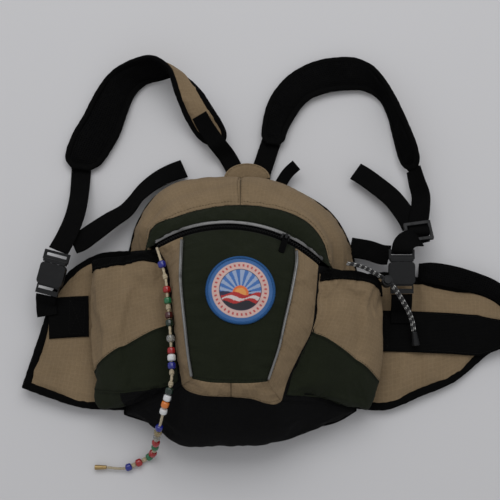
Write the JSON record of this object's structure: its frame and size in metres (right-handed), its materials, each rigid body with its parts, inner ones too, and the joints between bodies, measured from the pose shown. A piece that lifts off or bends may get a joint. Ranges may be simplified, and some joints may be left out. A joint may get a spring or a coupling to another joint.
{
  "type": "lumbar hip pack with shoulder straps",
  "caption": "Fabric lumbar pack for fishing or hiking: arched zip pocket, bottle pockets, padded waist belt, shoulder straps, buckles, cord lock and a bead lanyard.",
  "frame": {"origin": "centre of the flat rear face of the back panel, which rests against the wearer or on a table", "axes": "+X to the right as seen from the front, +Y to the top of the pack, +Z out of the front panel"},
  "size_m": [0.6473, 0.5243, 0.127],
  "materials": {
    "khaki_cloth": "matte ripstop weave",
    "green_cloth": "matte weave",
    "black_cloth": "matte weave",
    "air_mesh": "spacer mesh over foam",
    "black_webbing": "woven webbing",
    "grey_piping": "reflective piping",
    "zip_coil": "nylon coil zip on a woven tape",
    "black_plastic": "moulded, fine texture",
    "woven_patch": "embroidered",
    "spring_steel": "drawn wire",
    "shock_cord": "braided, with a pale tracer",
    "cream_cord": "twisted cord with beads",
    "brass": "satin"
  },
  "bodies": {
    "pack": {"back_panel": "air_mesh", "frame_sheet": "black_plastic", "crown_gusset": "khaki_cloth", "left_side_panel": "black_cloth", "right_side_panel": "black_cloth", "base_panel": "black_cloth", "upper_band": "green_cloth", "band_piping": "grey_piping", "front_zip": "zip_coil", "front_panel": "green_cloth", "left_gusset": "khaki_cloth", "right_gusset": "khaki_cloth", "left_piping": "grey_piping", "right_piping": "grey_piping", "bottom_strip": "khaki_cloth", "divider": "black_cloth", "round_patch": "woven_patch", "left_pocket": "khaki_cloth", "right_pocket": "khaki_cloth", "left_pocket_binding": "black_webbing", "right_pocket_binding": "black_webbing", "left_wing": "khaki_cloth", "left_belt_webbing": "black_webbing", "right_wing_root": "khaki_cloth", "right_belt_webbing_root": "black_webbing", "left_strap_pad": "air_mesh", "right_strap_pad": "air_mesh", "top_tab": "khaki_cloth", "left_anchor_webbing": "black_webbing", "right_anchor_webbing": "black_webbing", "haul_tail": "black_webbing", "stabiliser_tab": "black_webbing", "left_lower_webbing": "black_webbing", "left_webbing_tail": "black_webbing", "left_socket_strap": "black_webbing", "right_lower_webbing": "black_webbing", "right_feed_webbing": "black_webbing", "right_webbing_tail": "black_webbing", "right_socket_strap": "black_webbing", "left_buckle_socket": "black_plastic", "right_buckle_socket": "black_plastic", "cord_lock_barrel": "black_plastic", "cord_lock_spring": "spring_steel", "shock_cord": "shock_cord", "shock_cord_end": "shock_cord", "cord_end_cap": "black_plastic", "bead_lanyard": "cream_cord", "lanyard_end": "brass"},
    "slider": {"zip_slider": "black_plastic"},
    "pull": {"zip_pull": "black_plastic"},
    "left_plug": {"left_buckle_plug": "black_plastic"},
    "right_plug": {"right_buckle_plug": "black_plastic"},
    "ladder_lock": {"right_ladder_lock": "black_plastic"},
    "lock_button": {"cord_lock_button": "black_plastic"},
    "right_belt": {"right_wing": "khaki_cloth", "right_wing_mesh_roll": "air_mesh", "right_belt_webbing": "black_webbing", "waist_buckle_plug": "black_plastic"},
    "left_flap": {"left_wing_flap": "air_mesh", "waist_buckle_socket": "black_plastic"}
  },
  "joints": [
    {"name": "front_zip_travel", "type": "hinge", "parent": "pack", "child": "slider", "pos_m": [-0.01457, -0.04196, 0.01314], "axis": [-0.0542, -0.6498, 0.7581], "range_deg": [-16, 57]},
    {"name": "zip_pull_flip", "type": "hinge", "parent": "slider", "child": "pull", "pos_m": [0.05026, 0.06033, 0.10508], "axis": [-0.9029, 0.356, 0.2407], "range_deg": [0, 110]},
    {"name": "left_buckle_release", "type": "slide", "parent": "pack", "child": "left_plug", "axis": [0.2541, 0.9482, 0.1908], "range_m": [0, 0.034], "deforming": ["left_lower_webbing", "left_webbing_tail"]},
    {"name": "right_buckle_release", "type": "slide", "parent": "pack", "child": "right_plug", "axis": [0, 0.9848, 0.1736], "range_m": [0, 0.034], "deforming": ["right_feed_webbing"]},
    {"name": "ladder_lock_tilt", "type": "hinge", "parent": "pack", "child": "ladder_lock", "pos_m": [0.2132, 0.09455, 0.0315], "axis": [0.9903, 0.1392, 0], "range_deg": [-20, 0], "deforming": ["right_feed_webbing"]},
    {"name": "cord_lock_press", "type": "slide", "parent": "pack", "child": "lock_button", "axis": [0, 0, -1], "range_m": [0, 0.003], "stiffness_N_per_m": 900, "deforming": ["cord_lock_spring"]},
    {"name": "right_wing_fold", "type": "hinge", "parent": "pack", "child": "right_belt", "pos_m": [0.212, -0.03, 0.01], "axis": [0, 1, 0], "range_deg": [-40, 40]},
    {"name": "left_flap_unfold", "type": "hinge", "parent": "pack", "child": "left_flap", "pos_m": [-0.245, -0.0445, 0.0127], "axis": [0.2791, 0.9603, 0], "range_deg": [0, 165]}
  ]
}
